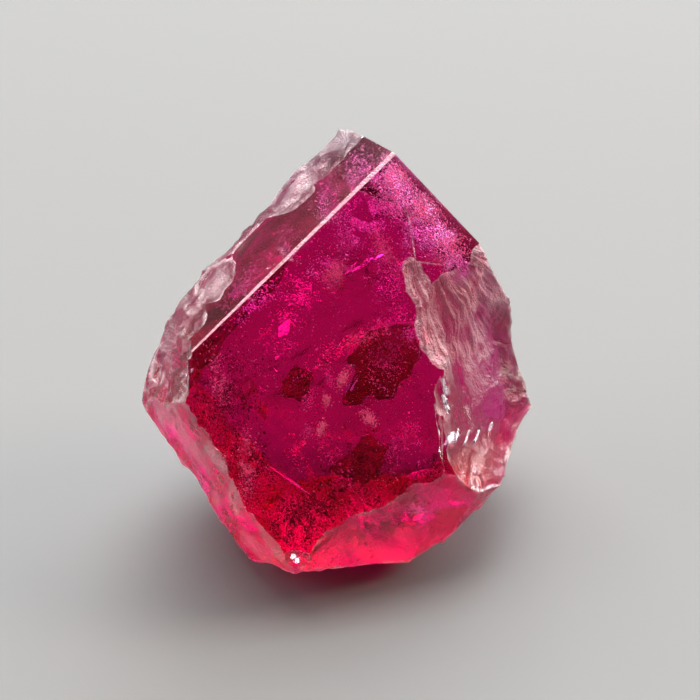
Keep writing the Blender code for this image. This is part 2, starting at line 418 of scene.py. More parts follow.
ZONES = (
    Zone("right", -30, 24, (1.12, 1.60, 0.0), frost=1.3, frost_far=0.25, scallop=0.04,
         hackle=0.12, cell=0.042, swell=0.03, froth=1.0, claim=3.3),
    Zone("left_upper", -166, 19, (5.8, 0.0, 1.5), frost=0.35, hackle=0.07, cell=0.065, swell=0.03),
    Zone("left_lower", -142, -15, (5.8, 0.0, 0.3), frost=0.7, frost_far=0.5, scallop=0.03,
         hackle=0.03, cell=0.065, swell=0.03),
    Zone("front_low", -68, -3, (4.0, 5.2, 0.5), frost=0.2, frost_far=0.2, scallop=0.02,
         hackle=0.012, cell=0.065, swell=0.03),
    Zone("top_back", 178, 52, (0.3, -0.5, 1.5), frost=0.55, frost_far=0.5, scallop=0.05,
         hackle=0.05, cell=0.065, swell=0.03),
    Zone("back_left", 145, 20, (1.0, -1.0, 3.0)),
    Zone("back", 85, 0, (0.0, 0.0, 4.0)),
    Zone("back_low", 96, -28, (0.0, 3.0, 6.0)),
    Zone("right_back", 23, 5, (0.0, 3.0, 2.0)),
    Zone("left_back", 160, 12, (4.0, -1.0, 4.0)),
    Zone("under", -90, -60, (5.0, 6.0, 1.0), frost=0.8, frost_far=0.8),
    Zone("under_left", -178, -42, (7.0, 2.0, 2.0), frost=0.8, frost_far=0.8),
    Zone("under_right", -14, -49, (3.0, 6.5, 2.0), frost=0.8, frost_far=0.8),
)


def deselect_all():
    """Deselect every object."""
    for thing in bpy.context.selected_objects:
        thing.select_set(False)


def make_active(thing):
    """Select one object alone."""
    deselect_all()
    thing.select_set(True)
    bpy.context.view_layer.objects.active = thing


def flat_number(face):
    """The number of the flat face that a face of the mesh lies in, or None."""
    middle = face.calc_center_median()
    for number, flat in enumerate(FLATS):
        level = abs(middle.dot(flat.normal) - flat.offset) < SAME_PLANE
        if level and face.normal.dot(flat.normal) > FLAT_LIKENESS:
            return number
    return None


BEVEL_FACING = (FRONT.normal + SIDE.normal).normalized()


def is_bevel(face):
    """True for a face of the narrow bevel between the front and side faces."""
    to_edge = face.calc_center_median() - TOP_CORNER
    from_line = (to_edge - ALONG_EDGE * to_edge.dot(ALONG_EDGE)).length
    return face.normal.dot(BEVEL_FACING) > BEVEL_LIKENESS and from_line < BEVEL_REACH


def bowls(place, size):
    """A pattern of shallow bowls with crisp rims, about 0 on average and 1 at the rims."""
    nearest = noise.voronoi(place / size)[0][0]
    return 2.0 * (nearest * nearest - BOWL_LEVEL)


class Fan:
    """The rays that run out from a zone's spring, measured in the zone's own plane."""

    def __init__(self, zone, number):
        self.zone = zone
        self.facing = direction(zone.bearing, zone.rise)
        self.spring = behind_front(*zone.spring) / MM
        self.seed = number * SEED_SPACING
        middle = (CAD_BOX[0] + CAD_BOX[1]) / 2 / MM
        self.across = (middle - self.spring).cross(self.facing).normalized()
        self.down = self.facing.cross(self.across)

    def measure(self, place):
        """The ray's angle and how far along it a place is, in radians and millimetres."""
        way = place - self.spring
        return math.atan2(way.dot(self.across), -way.dot(self.down)), way.length

    def likeness(self, place, normal):
        """How much a place whose surface faces this way belongs to the zone."""
        like = max(0.0, normal.dot(self.facing))
        near = max(0.0, self.zone.claim - (place - self.spring).length)
        return like ** ZONE_SHARPNESS + CLAIM_WEIGHT * min(near, 1.0) * like

    def hackle(self, angle, reach):
        """How far the hackles stand out along a ray, in millimetres."""
        ray = Vector((math.cos(angle), math.sin(angle), 0.0)) * HACKLE_FINENESS
        ray.z = HACKLE_WANDER * reach + self.seed
        crest = sum(share * (HACKLE_LEVEL - abs(noise.noise(ray * fineness)))
                    for fineness, share in HACKLES)
        fade = min(1.0, max(HACKLE_LEFT, (HACKLE_END - reach) / HACKLE_FADE))
        return self.zone.hackle * min(reach, HACKLE_GROWTH) * fade * crest * HACKLE_SHARE

    def relief(self, place):
        """How far the zone's fine surface stands out at a place, in millimetres."""
        zone = self.zone
        warped = place + noise.noise_vector(place / WARP_SIZE) * WARP
        height = zone.scallop * bowls(warped, SCALLOP_SIZE)
        fine = bowls(warped + FINE_SCALLOP_SHIFT, FINE_SCALLOP_SIZE)
        height += FINE_SCALLOP_SHARE * zone.scallop * fine
        swell = noise.fractal(place / SWELL_SIZE + Vector((self.seed, 5, 8)), 1.0, 2.0, 2)
        height += zone.swell * swell
        height += zone.grain * noise.fractal(place / GRAIN_SIZE, 0.9, 2.0, 3)
        return height + self.hackle(*self.measure(place))

    def frost(self, place, reach):
        """How frosted the break is at a place, in patches."""
        share = min(reach / FROST_REACH, 1.0)
        level = self.zone.frost + (self.zone.frost_far - self.zone.frost) * share
        spot = place / FROST_PATCH_SIZE + Vector((self.seed, 3, 1))
        return level * (FROST_LEAST + FROST_MORE * (0.5 + 0.5 * noise.noise(spot)))

    def bruise(self, place, reach, to_rim):
        """How bruised the break is: in patches along its rims, and all over near a frothy spring."""
        near = max(0.0, 1.0 - to_rim / RIM_BRUISE)
        froth = self.zone.froth * max(0.0, 1.0 - reach / FROTH_REACH)
        spot = place / BRUISE_PATCH_SIZE + Vector((2, 7, 5))
        patch = max(0.0, BRUISE_LEVEL + BRUISE_CONTRAST * noise.noise(spot))
        return max(near * patch, froth)


FANS = [Fan(zone, number) for number, zone in enumerate(ZONES)]


def nearest_fan(face):
    """The fan of the zone that a face belongs to. A zone may claim what lies near its spring."""
    middle = face.calc_center_median() / MM
    for fan in FANS:
        close = (middle - fan.spring).length < fan.zone.claim
        if close and face.normal.dot(fan.facing) > CLAIM_FACING:
            return fan
    return max(FANS, key=lambda fan: face.normal.dot(fan.facing))


def join_flats(shape):
    """Join the triangles of each flat face into one."""
    flats = {}
    for face in shape.faces:
        flats.setdefault(flat_number(face), []).append(face)
    flats.pop(None)
    for faces in flats.values():
        bmesh.ops.dissolve_faces(shape, faces=faces, use_verts=False)


def mend(shape):
    """Delete the flaps and fill the slits that cutting a long thin triangle can leave."""
    for _ in range(MENDING_ROUNDS):
        doubled = list(dict.fromkeys(face for edge in shape.edges if len(edge.link_faces) > 2
                                     for face in edge.link_faces))
        flaps = [face for face in doubled if any(len(edge.link_faces) == 1 for edge in face.edges)]
        if doubled:
            bmesh.ops.delete(shape, geom=flaps or doubled, context="FACES")
        rims = [edge for edge in shape.edges if len(edge.link_faces) == 1]
        if not doubled and not rims:
            break
        if rims and not flaps:
            bmesh.ops.holes_fill(shape, edges=rims, sides=0)


def put_in_order(shape):
    """Number the edges and faces by their vertices, so that every run of the script cuts them alike."""
    shape.verts.index_update()
    count = len(shape.verts)

    def rank(element):
        """A number that grows with the lowest vertices of an edge or face."""
        lowest = sorted(vert.index for vert in element.verts)[:3]
        return sum(index * count ** (2 - place) for place, index in enumerate(lowest))

    shape.edges.sort(key=rank)
    shape.faces.sort(key=rank)


def halve_long_edges(stone, coarseness):
    """Halve the edges of the breaks that are too long. False where there are none."""
    shape = bmesh.from_edit_mesh(stone.data)
    put_in_order(shape)
    bpy.ops.mesh.select_all(action="DESELECT")
    cells = {face.index: nearest_fan(face).zone.cell * coarseness * MM for face in shape.faces
             if flat_number(face) is None}
    long_edges = [edge for edge in shape.edges if edge.calc_length() >
                  min(cells.get(face.index, math.inf) for face in edge.link_faces)]
    for edge in long_edges:
        edge.select_set(True)
    bmesh.update_edit_mesh(stone.data)
    if not long_edges:
        return False
    bpy.ops.mesh.subdivide(number_cuts=1)
    shape = bmesh.from_edit_mesh(stone.data)
    bpy.ops.mesh.select_all(action="DESELECT")
    for face in shape.faces:
        if len(face.verts) > 3 and flat_number(face) is None:
            face.select_set(True)
    bpy.ops.mesh.quads_convert_to_tris(quad_method="SHORTEST_DIAGONAL", ngon_method="CLIP")
    return True


def finer_copy(name, coarseness):
    """A merged copy of the solid with its breaks cut into small triangles. Rims are marked sharp."""
    stone = bpy.data.objects.new(name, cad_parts[NODE].data.copy())
    bpy.context.scene.collection.objects.link(stone)
    make_active(stone)
    bpy.ops.object.mode_set(mode="EDIT")
    bpy.ops.mesh.select_mode(type="EDGE")
    bpy.ops.mesh.select_all(action="SELECT")
    bpy.ops.mesh.remove_doubles(threshold=MERGE_DISTANCE)
    bpy.ops.mesh.normals_make_consistent(inside=False)
    shape = bmesh.from_edit_mesh(stone.data)
    for edge in shape.edges:
        edge.smooth = edge.calc_face_angle(math.pi) < SHARP_ANGLE
    join_flats(shape)
    bmesh.update_edit_mesh(stone.data)
    for _ in range(CUTTING_ROUNDS):
        if not halve_long_edges(stone, coarseness):
            break
    shape = bmesh.from_edit_mesh(stone.data)
    put_in_order(shape)
    mend(shape)
    bmesh.update_edit_mesh(stone.data)
    bpy.ops.object.mode_set(mode="OBJECT")
    return stone


def ragged_rims(shape):
    """Shift the rims of the flat faces within their own planes, so the breaks cut them raggedly."""
    large = [face for face in shape.faces if len(face.verts) > 3]
    sheets = {face: flat_number(face) for face in large if flat_number(face) is not None}
    fixed = {vert for face in shape.faces if is_bevel(face) for vert in face.verts}
    for sheet, number in sheets.items():
        normal = FLATS[number].normal
        for vert in sheet.verts:
            if vert in fixed or sum(face in sheets for face in vert.link_faces) > 1:
                continue
            shift = Vector()
            for size, amount in RIM_WOBBLE[number]:
                shift += noise.noise_vector(vert.co / MM / size) * amount
            vert.co += (shift - normal * shift.dot(normal)) * MM
    shape.normal_update()
    bmesh.ops.triangulate(shape, faces=large, ngon_method="BEAUTY")


def held_verts(shape, flats, bevel, fan_of):
    """The vertices that stay: those of the flat faces and the bevel, and of sharp rims of breaks."""
    held = set()
    for edge in shape.edges:
        on_flat = any(face in flats or face in bevel for face in edge.link_faces)
        if on_flat or not edge.smooth and len({fan_of[face] for face in edge.link_faces}) > 1:
            held.update(edge.verts)
    return held


def fine_shift(vert, rims):
    """The shift that gives a vertex of the breaks its fine relief, which fades out at the rims."""
    place = vert.co / MM
    likeness = [fan.likeness(place, vert.normal) for fan in FANS]
    total = sum(likeness) or 1.0
    height = 0.0
    for fan, like in zip(FANS, likeness):
        if like / total > LEAST_SHARE:
            height += like / total * fan.relief(place)
    fade = min(1.0, rims.find(vert.co)[2] / MM / RIM_FADE)
    return vert.normal * height * fade * MM


def mark_faces(shape, flats, bevel, fan_of, rims):
    """Store how frosted and bruised each face corner is, its place in its fan, and what is flat."""
    frost = shape.loops.layers.float["frost"]
    bruise = shape.loops.layers.float["bruise"]
    ray = shape.loops.layers.float_vector["fan"]
    is_flat = shape.faces.layers.int["flat"]
    for face in shape.faces:
        if face in flats:
            face[is_flat] = 1
            for loop in face.loops:
                loop[frost] = FLAT_FROST[flats[face]]
        elif face in bevel:
            for loop in face.loops:
                loop[frost], loop[bruise] = 1.0, 1.0
        else:
            fan = fan_of[face]
            for loop in face.loops:
                place = loop.vert.co / MM
                angle, reach = fan.measure(place)
                loop[ray] = Vector((angle, reach, fan.seed))
                loop[frost] = fan.frost(place, reach)
                loop[bruise] = fan.bruise(place, reach, rims.find(loop.vert.co)[2] / MM)


def sculpt_breaks(stone):
    """Round the coarse facets of the breaks, give them fine relief and mark how frosted they are."""
    shape = bmesh.new()
    shape.from_mesh(stone.data)
    for name in ("frost", "bruise"):
        shape.loops.layers.float.new(name)
    shape.loops.layers.float_vector.new("fan")
    shape.faces.layers.int.new("flat")
    ragged_rims(shape)
    numbers = {face: flat_number(face) for face in shape.faces}
    flats = {face: number for face, number in numbers.items() if number is not None}
    bevel = {face for face in shape.faces if is_bevel(face)}
    fan_of = {face: nearest_fan(face) for face in shape.faces}
    held = held_verts(shape, flats, bevel, fan_of)
    free = [vert for vert in shape.verts if vert not in held]
    for _ in range(SMOOTHING_PASSES):
        bmesh.ops.smooth_vert(shape, verts=free, factor=SMOOTHING_SHARE, use_axis_x=True,
                              use_axis_y=True, use_axis_z=True)
    shape.normal_update()
    rims = kdtree.KDTree(len(held))
    for number, vert in enumerate(held):
        rims.insert(vert.co, number)
    rims.balance()
    shifts = {vert: fine_shift(vert, rims) for vert in free}
    mark_faces(shape, flats, bevel, fan_of, rims)
    for vert, shift in shifts.items():
        vert.co += shift
    shape.normal_update()
    shape.to_mesh(stone.data)
    shape.free()


# ---- Cracks and chips ----

# How near to the surface a flaw or a loose speck may lie.
FLAW_CLEARANCE = 0.05 * MM
SPECK_CLEARANCE = 0.015 * MM
CRACK_GAP = 0.004 * MM
CRACK_SEED = 7.0
# The share of its way from the middle that is left each time a crack's rim is drawn in.
DRAWN_IN = 0.8
# How ragged a lens's rim is, and how its sheet waves and ripples. A fineness counts the bumps in
# a radian for the rim, and in a millimetre for the sheet.
RAG, RAG_FINENESS = 0.6, 1.3
FINE_RAG, FINE_RAG_FINENESS = 0.2, 3.0
WAVE, WAVE_FINENESS = 0.05 * MM, 1.3
RIPPLE, RIPPLE_FINENESS = 0.012 * MM, 6.0


@dataclass
class Crack:
    """A lens-shaped flaw: where it is, which way it faces, and how it looks through the front face.

    The middle is along the top edge, down the front face and behind it. Width and height are as
    seen through the front face, in millimetres, and spin turns the width away from the top edge.
    """

    middle: tuple
    bearing: float
    rise: float
    width: float
    height: float
    spin: float = 0.0
    frost: float = 0.3
    detail: int = 3


# A crack that faces the sky throws the lamp's light forwards. One that faces down stays dark.
CRACKS = {
    "glow": (Crack((3.18, 0.89, 1.7), -122, 65, 0.45, 0.3, 30, 0.6),
             Crack((3.95, 1.08, 1.6), -121, 68, 0.35, 0.2, 20, 0.6)),
    "streak": (Crack((1.95, 1.23, 0.8), -34, 47, 0.5, 0.1, -10, 0.25),
               Crack((2.2, 1.1, 0.7), -48, 72, 0.3, 0.07, -5, 0.15, 2),
               Crack((1.6, 1.35, 0.8), -34, 47, 0.3, 0.06, -15, 0.1, 2)),
    "spark": (Crack((1.12, 0.89, 0.5), -34, 47, 0.12, 0.07, 0, 0.1, 2),),
    "fan": (Crack((5.51, 4.75, 1.0), -48, 72, 0.8, 0.06, 69, 0.4, 2),
            Crack((5.35, 4.9, 0.9), -48, 72, 0.6, 0.04, 80, 0.4, 2),
            Crack((5.75, 4.7, 0.9), -155, 64, 0.5, 0.04, 55, 0.4, 2)),
    "lilac_line": (Crack((6.10, 3.29, 0.5), -133, 73, 0.95, 0.04, 100, 0.5),),
    "low_glow": (Crack((4.65, 5.61, 0.95), -50, 62, 0.3, 0.2, -40, 0.3),
                 Crack((4.60, 5.50, 0.7), -42, 43, 0.22, 0.14, -60, 0.25, 2),
                 Crack((4.75, 5.60, 1.2), -128, 62, 0.4, 0.3, -20, 0.25, 2),
                 Crack((4.65, 5.65, 1.4), -50, 62, 0.3, 0.22, -20, 0.3, 2)),
    "dark": (Crack((3.05, 2.95, 1.3), -80, -16, 1.8, 1.4, 30, 0.3, 4),
             Crack((4.75, 4.15, 1.3), -85, -16, 1.2, 0.9, 20, 0.3, 4),
             Crack((4.60, 2.05, 1.2), -85, -16, 0.6, 0.6, 0, 0.3)),
}


def wavy_lens(flaw, seed, thickness, flatness):
    """A wavy, ragged lens. The flatter it is, the steeper its sides and the flatter its two faces."""
    deselect_all()
    bpy.ops.mesh.primitive_ico_sphere_add(subdivisions=flaw.detail, radius=1.0)
    lens = bpy.context.object
    middle = behind_front(*flaw.middle)
    facing = direction(flaw.bearing, flaw.rise)
    length, breadth = sheet_axes(facing, math.radians(flaw.spin))
    width, height = flaw.width * MM, flaw.height * MM
    for vert in lens.data.vertices:
        spot = vert.co.copy()
        around = Vector((spot.x, spot.y, 0.0)).normalized()
        ragged = 1.0 + RAG * noise.noise(around * RAG_FINENESS + Vector((seed, 0, 0)))
        ragged += FINE_RAG * noise.noise(around * FINE_RAG_FINENESS + Vector((0, seed, 0)))
        x, y = spot.x * width / 2 * ragged, spot.y * height / 2 * ragged
        flat = Vector((x, y, 0.0)) / MM
        shift = Vector((0, 0, seed))
        rise = WAVE * noise.fractal(flat * WAVE_FINENESS + shift, 1.0, 2.0, 3)
        rise += RIPPLE * noise.noise(flat * RIPPLE_FINENESS + shift)
        lift = max(-1.0, min(1.0, spot.z * flatness)) * thickness
        vert.co = middle + length * x + breadth * y + facing * (rise + lift)
    mark_frost(lens, flaw.frost)
    return lens


# Bright chips on the breaks: (along, down, depth), width, height and spin, as for a crack.
CHIPS = (
    ((2.47, 4.04, 0.16), 0.18, 0.05, 60), ((2.56, 4.21, 0.18), 0.28, 0.07, 70),
    ((2.70, 4.30, 0.19), 0.26, 0.06, 70), ((2.80, 4.48, 0.16), 0.22, 0.06, 75),
    ((3.17, 5.00, 0.32), 0.34, 0.20, 10), ((3.10, 5.05, 0.45), 0.28, 0.10, 20),
    ((3.02, 5.11, 0.57), 0.35, 0.07, 20), ((2.84, 5.33, 0.87), 0.40, 0.05, 20),
    ((2.65, 5.51, 1.07), 0.40, 0.05, 20), ((2.19, 5.69, 1.68), 0.20, 0.10, 20),
    ((7.13, 4.49, 0.19), 0.14, 0.12, 0), ((7.12, 4.36, 0.12), 0.12, 0.10, 40),
    ((6.05, 0.29, 0.33), 0.20, 0.07, 0),
)
CHIP_BEARING = -40
CHIP_RISE = 48
CHIP_HEIGHT = 0.045 * MM
CHIP_FLATNESS = 3.0
CHIP_FROST = 0.05
CHIP_DETAIL = 2
CHIP_SEED = 40.0


def mark_frost(thing, amount):
    """Give every face corner of an object the same frost."""
    layer = thing.data.attributes.new("frost", "FLOAT", "CORNER")
    layer.data.foreach_set("value", [amount] * len(layer.data))


def search_tree(stone):
    """A search tree of the stone's faces, put in an order that every run of the script repeats."""
    corners = [list(face.vertices) for face in stone.data.polygons]
    ordered = sorted(face[face.index(min(face)):] + face[:face.index(min(face))] for face in corners)
    return BVHTree.FromPolygons([vert.co for vert in stone.data.vertices], ordered)


def is_inside(tree, place, clearance):
    """True if a place is inside the stone and at least this far from its surface."""
    near, normal, _, away = tree.find_nearest(place)
    return away > clearance and (place - near).dot(normal) < 0


def placed_cracks(tree):
    """The cracks that show from the front, drawn in where they would break the surface."""
    made = []
    for crack in [crack for group in CRACKS.values() for crack in group]:
        lens = wavy_lens(crack, CRACK_SEED + len(made), CRACK_GAP, 1.0)
        # The faces of an air gap look into the air, away from the beryl.
        lens.data.flip_normals()
        middle = behind_front(*crack.middle)
        for vert in lens.data.vertices:
            while (not is_inside(tree, vert.co, FLAW_CLEARANCE)
                   and (vert.co - middle).length > CRACK_GAP):
                vert.co = middle.lerp(vert.co, DRAWN_IN)
        made.append(lens)
    return made


def chips():
    """Glossy chips that stand a hair proud of the breaks, at the angle that catches the side lamp."""
    made = []
    for number, (middle, width, height, spin) in enumerate(CHIPS):
        chip = Crack(middle, CHIP_BEARING, CHIP_RISE, width, height, spin, CHIP_FROST, CHIP_DETAIL)
        made.append(wavy_lens(chip, CHIP_SEED + number, CHIP_HEIGHT, CHIP_FLATNESS))
    return made


# ---- Healed cracks and dust ----

# Grains lie about a haze's middle by this share of its size, and thin out where the noise of
# this patch size falls below a level drawn from these limits.
HAZE_SPREAD = 0.21
HAZE_PATCH_SIZE = 0.22
HAZE_THINNING = (-0.7, 0.4)
HAZE_WAVE = 0.08
HAZE_WAVE_FINENESS = 1.3
GRAIN_VARIETY = 0.45
NARROWEST_GRAIN = 0.5
LEAST_LEAN = 0.3
BUBBLE_FROST = 0.8
BUBBLE_THICKNESS, BUBBLE_LEAN, BUBBLE_SEED = 0.18, 0.2, 3
SPECK_THICKNESS, SPECK_LEAN, SPECK_SEED = 0.5, 0.3, 11

# Loose specks under the front face, in millimetres: how many, where, how deep and how big.
SPECK_COUNT = 1300
SPECK_ALONG = (0.2, 7.4)
SPECK_DOWN = (0.0, 6.2)
SPECK_DEPTH, SPECK_DEPTH_SPREAD = 0.02, 0.35
SPECK_THINNING = (-0.5, 0.5)
# The noise that gathers the specks: the share and the patch size of each part of it.
SPECK_PATCHES = ((1.0, 0.8), (0.3, 0.25))
SPECK_SIZE = (0.005, 0.016)
SPECK_TURN_AXIS = Vector((1, 2, 3)).normalized()


@dataclass
class Haze:
    """A sheet of minute flat bubbles or grains that thins out towards its rim.

    The middle, the facing, the sizes and the spin are given as for a crack. Grain is the typical
    half length of a bubble or grain.
    """

    middle: tuple
    bearing: float
    rise: float
    width: float
    height: float
    spin: float
    count: int
    grain: float


# Hazes that face the sky throw the light from behind forwards. Those that face down stay dark.
HAZES = {
    "healed_cracks_high": (
        Haze((0.43, 0.67, 0.50), -34, 47, 1.2, 0.9, 20, 2170, 0.012),
        Haze((0.72, 1.60, 0.50), -40, 55, 1.2, 1.0, 60, 2170, 0.012),
        Haze((1.27, 0.60, 0.90), -48, 72, 1.9, 0.9, 0, 2170, 0.012),
        Haze((1.60, 1.70, 0.90), -34, 47, 1.6, 1.2, 45, 1860, 0.012),
        Haze((2.60, 0.70, 0.60), -34, 47, 0.8, 0.45, -20, 810, 0.012),
        Haze((0.35, 0.40, 0.40), -34, 47, 0.9, 0.7, 20, 1210, 0.012),
        Haze((0.26, 1.23, 0.40), -34, 47, 0.9, 0.8, 60, 1620, 0.012),
        Haze((0.42, 1.95, 0.40), -34, 47, 1.1, 0.7, 80, 1620, 0.012),
        Haze((0.62, 2.50, 0.40), -40, 55, 0.9, 0.6, 80, 810, 0.012),
        Haze((0.60, -0.05, 0.80), 19, 79, 1.5, 0.9, 0, 900, 0.014),
        Haze((1.70, -0.05, 0.70), 19, 79, 1.5, 0.8, 0, 800, 0.014),
        Haze((2.90, -0.05, 0.50), 19, 79, 1.5, 0.7, 0, 600, 0.014),
        Haze((4.00, -0.03, 0.40), 19, 79, 1.4, 0.6, 0, 400, 0.014),
    ),
    "healed_cracks_low": (
        Haze((3.05, 2.95, 0.60), -34, 47, 1.5, 1.1, 30, 700, 0.012),
        Haze((3.90, 4.30, 0.60), -34, 47, 1.3, 0.8, 10, 500, 0.012),
        Haze((2.40, 2.60, 0.90), -34, 47, 1.5, 0.9, 45, 830, 0.015),
        Haze((3.30, 0.87, 1.60), -122, 65, 1.3, 0.8, 30, 970, 0.019),
        Haze((4.03, 1.10, 1.60), -121, 68, 1.3, 0.7, 30, 690, 0.019),
        Haze((4.00, 0.30, 1.20), -122, 65, 1.6, 0.5, 0, 510, 0.019),
        Haze((3.34, 2.24, 1.50), -34, 47, 2.9, 0.5, -20, 1290, 0.019),
        Haze((4.69, 2.39, 0.50), -60, 60, 0.6, 0.3, 20, 340, 0.012),
        Haze((4.10, 2.37, 0.50), -34, 50, 0.5, 0.2, 60, 230, 0.012),
        Haze((4.07, 3.43, 0.50), -34, 50, 0.5, 0.3, 80, 300, 0.012),
        Haze((5.12, 2.81, 0.40), -60, 60, 0.6, 0.25, 10, 280, 0.012),
        Haze((5.00, 3.30, 0.90), -45, 65, 1.8, 0.6, 70, 460, 0.019),
        Haze((3.72, 4.59, 0.90), -34, 47, 1.0, 0.6, 50, 690, 0.019),
        Haze((5.49, 2.99, 1.30), -133, 73, 0.7, 0.5, 40, 410, 0.019),
        Haze((5.10, 1.54, 1.00), -122, 65, 0.9, 0.5, 20, 250, 0.012),
        Haze((5.61, 4.72, 1.00), -48, 72, 0.9, 0.35, 70, 370, 0.012),
        Haze((4.60, 5.55, 0.60), -50, 62, 0.55, 0.45, -30, 690, 0.015),
        Haze((4.65, 5.61, 1.00), -50, 62, 0.55, 0.45, -30, 600, 0.015),
        Haze((6.60, 2.60, 0.80), -133, 73, 1.8, 0.5, 30, 370, 0.012),
        Haze((2.18, 2.86, 0.50), -34, 47, 1.0, 0.7, 60, 500, 0.014),
        Haze((4.35, 2.05, 1.10), -90, -18, 0.9, 0.7, 0, 370, 0.019),
        Haze((2.96, 3.27, 1.80), -75, -18, 1.6, 1.1, 30, 690, 0.019),
        Haze((5.73, 1.39, 1.90), -110, -18, 2.2, 1.2, 40, 1800, 0.015),
        Haze((4.82, 4.26, 1.50), -85, -18, 1.5, 1.1, 20, 1800, 0.015),
    ),
}

# Clouds of specks, given as hazes are, that lie nearly level with the front face. The pale ones are
# dust; the dark ones are painted shade that deepens the crimson of the left and lower parts.
CLOUDS = {
    "pale_specks": (
        Haze((0.35, 0.45, 0.25), -78, 33, 1.3, 1.0, 20, 1500, 0.010),
        Haze((0.30, 1.30, 0.25), -78, 33, 1.0, 1.2, 30, 1500, 0.010),
        Haze((0.50, 2.20, 0.20), -78, 33, 0.9, 1.0, 80, 1300, 0.010),
        Haze((2.55, 0.95, 0.30), -78, 33, 0.8, 0.6, 0, 900, 0.010),
        Haze((1.50, 1.30, 0.30), -78, 33, 1.4, 0.5, 70, 700, 0.010),
        Haze((3.95, 2.55, 0.20), -78, 33, 0.6, 0.25, 20, 420, 0.010),
        Haze((4.45, 2.60, 0.20), -78, 33, 0.35, 0.2, 60, 260, 0.010),
        Haze((4.10, 3.45, 0.20), -78, 33, 0.5, 0.25, 100, 380, 0.010),
        Haze((4.95, 2.95, 0.20), -78, 33, 0.4, 0.2, 20, 320, 0.010),
        Haze((2.90, 2.30, 0.35), -78, 33, 1.8, 0.4, -25, 600, 0.010),
        Haze((5.70, 0.80, 0.25), -78, 33, 1.4, 0.5, 60, 500, 0.010),
        Haze((6.50, 2.40, 0.20), -78, 33, 1.6, 0.4, 45, 500, 0.010),
    ),
    # Painted shade: dark specks that deepen the crimson of the left and lower parts.
    "dark_specks": (
        Haze((5.75, 1.15, 0.9), -78, 33, 2.2, 1.9, 30, 4600, 0.0095),
        Haze((6.45, 2.60, 0.9), -78, 33, 2.0, 1.2, 60, 2800, 0.0095),
        Haze((4.85, 4.20, 1.0), -78, 33, 1.9, 1.5, 20, 3200, 0.0095),
        Haze((6.10, 4.10, 0.7), -78, 33, 2.2, 1.1, 15, 3600, 0.0095),
        Haze((4.60, 2.05, 0.9), -78, 33, 0.8, 0.8, 0, 400, 0.009),
        Haze((3.90, 5.15, 0.6), -78, 33, 1.4, 0.6, 0, 900, 0.009),
        Haze((5.30, 5.10, 0.9), -78, 33, 2.4, 1.0, -10, 3600, 0.0095),
        Haze((6.75, 3.90, 0.6), -78, 33, 1.4, 1.3, 20, 2600, 0.0095),
    ),
}


def sheet_axes(facing, spin):
    """The sheet's length and breadth, drawn out so that the front face shows them unshortened."""
    length = ALONG_EDGE * math.cos(spin) + DOWN_FACE * math.sin(spin)
    breadth = DOWN_FACE * math.cos(spin) - ALONG_EDGE * math.sin(spin)
    lean = FRONT.normal.dot(facing)
    lean = math.copysign(max(abs(lean), LEAST_LEAN), lean)
    return [axis - FRONT.normal * (axis.dot(facing) / lean) for axis in (length, breadth)]


def strewn(name, ball, places):
    """One mesh of a small ball, repeated at each of the given placings."""
    points = [vert.co.copy() for vert in ball.verts]
    corners = [[vert.index for vert in face.verts] for face in ball.faces]
    verts, faces = [], []
    for place in places:
        faces.extend([corner + len(verts) for corner in face] for face in corners)
        verts.extend(place @ point for point in points)
    mesh = bpy.data.meshes.new(name)
    mesh.from_pydata(verts, [], faces)
    thing = bpy.data.objects.new(name, mesh)
    bpy.context.scene.collection.objects.link(thing)
    return thing


def grain_placing(place, facing, grain, chance, thickness, lean):
    """Places one flat grain, turned and sized at random, so that it leans a little from the sheet."""
    size = grain * math.exp(chance.gauss(0, GRAIN_VARIETY)) * MM
    tilt = Vector([chance.gauss(0, lean) for _ in range(3)])
    turn = (facing + tilt).to_track_quat("Z", "Y").to_matrix().to_4x4()
    turn = turn @ Matrix.Rotation(chance.uniform(0, math.pi), 4, "Z")
    width = size * chance.uniform(NARROWEST_GRAIN, 1.0)
    return Matrix.Translation(place) @ turn @ Matrix.Diagonal((size, width, size * thickness, 1.0))


def scattered(hazes, chance, tree, thickness, lean):
    """Placings for the flat grains or bubbles of hazes that are inside the stone."""
    places = []
    for haze in hazes:
        facing = direction(haze.bearing, haze.rise)
        length, breadth = sheet_axes(facing, math.radians(haze.spin))
        seed = Vector((0, 0, haze.count + haze.width))
        made = 0
        while made < haze.count:
            x = chance.gauss(0, HAZE_SPREAD) * haze.width
            y = chance.gauss(0, HAZE_SPREAD) * haze.height
            flat = Vector((x, y, 0.0))
            thick = noise.fractal(flat / HAZE_PATCH_SIZE + seed, 1.0, 2.0, 3)
            if thick < chance.uniform(*HAZE_THINNING):
                continue
            made += 1
            rise = HAZE_WAVE * noise.fractal(flat * HAZE_WAVE_FINENESS + seed, 1.0, 2.0, 3)
            place = behind_front(*haze.middle) + (length * x + breadth * y + facing * rise) * MM
            if is_inside(tree, place, FLAW_CLEARANCE):
                places.append(grain_placing(place, facing, haze.grain, chance, thickness, lean))
    return places


def octahedron(hollow):
    """A small double pyramid. The faces of a hollow one look inwards."""
    ball = bmesh.new()
    bmesh.ops.create_uvsphere(ball, u_segments=4, v_segments=2, radius=1.0)
    if hollow:
        bmesh.ops.reverse_faces(ball, faces=ball.faces)
    ball.verts.index_update()
    return ball


def bubbles(name, tree):
    """The bubbles of several healed cracks as one mesh, whose faces look into the bubbles."""
    chance = random.Random(BUBBLE_SEED)
    places = scattered(HAZES[name], chance, tree, BUBBLE_THICKNESS, BUBBLE_LEAN)
    thing = strewn(name, octahedron(True), places)
    mark_frost(thing, BUBBLE_FROST)
    return thing


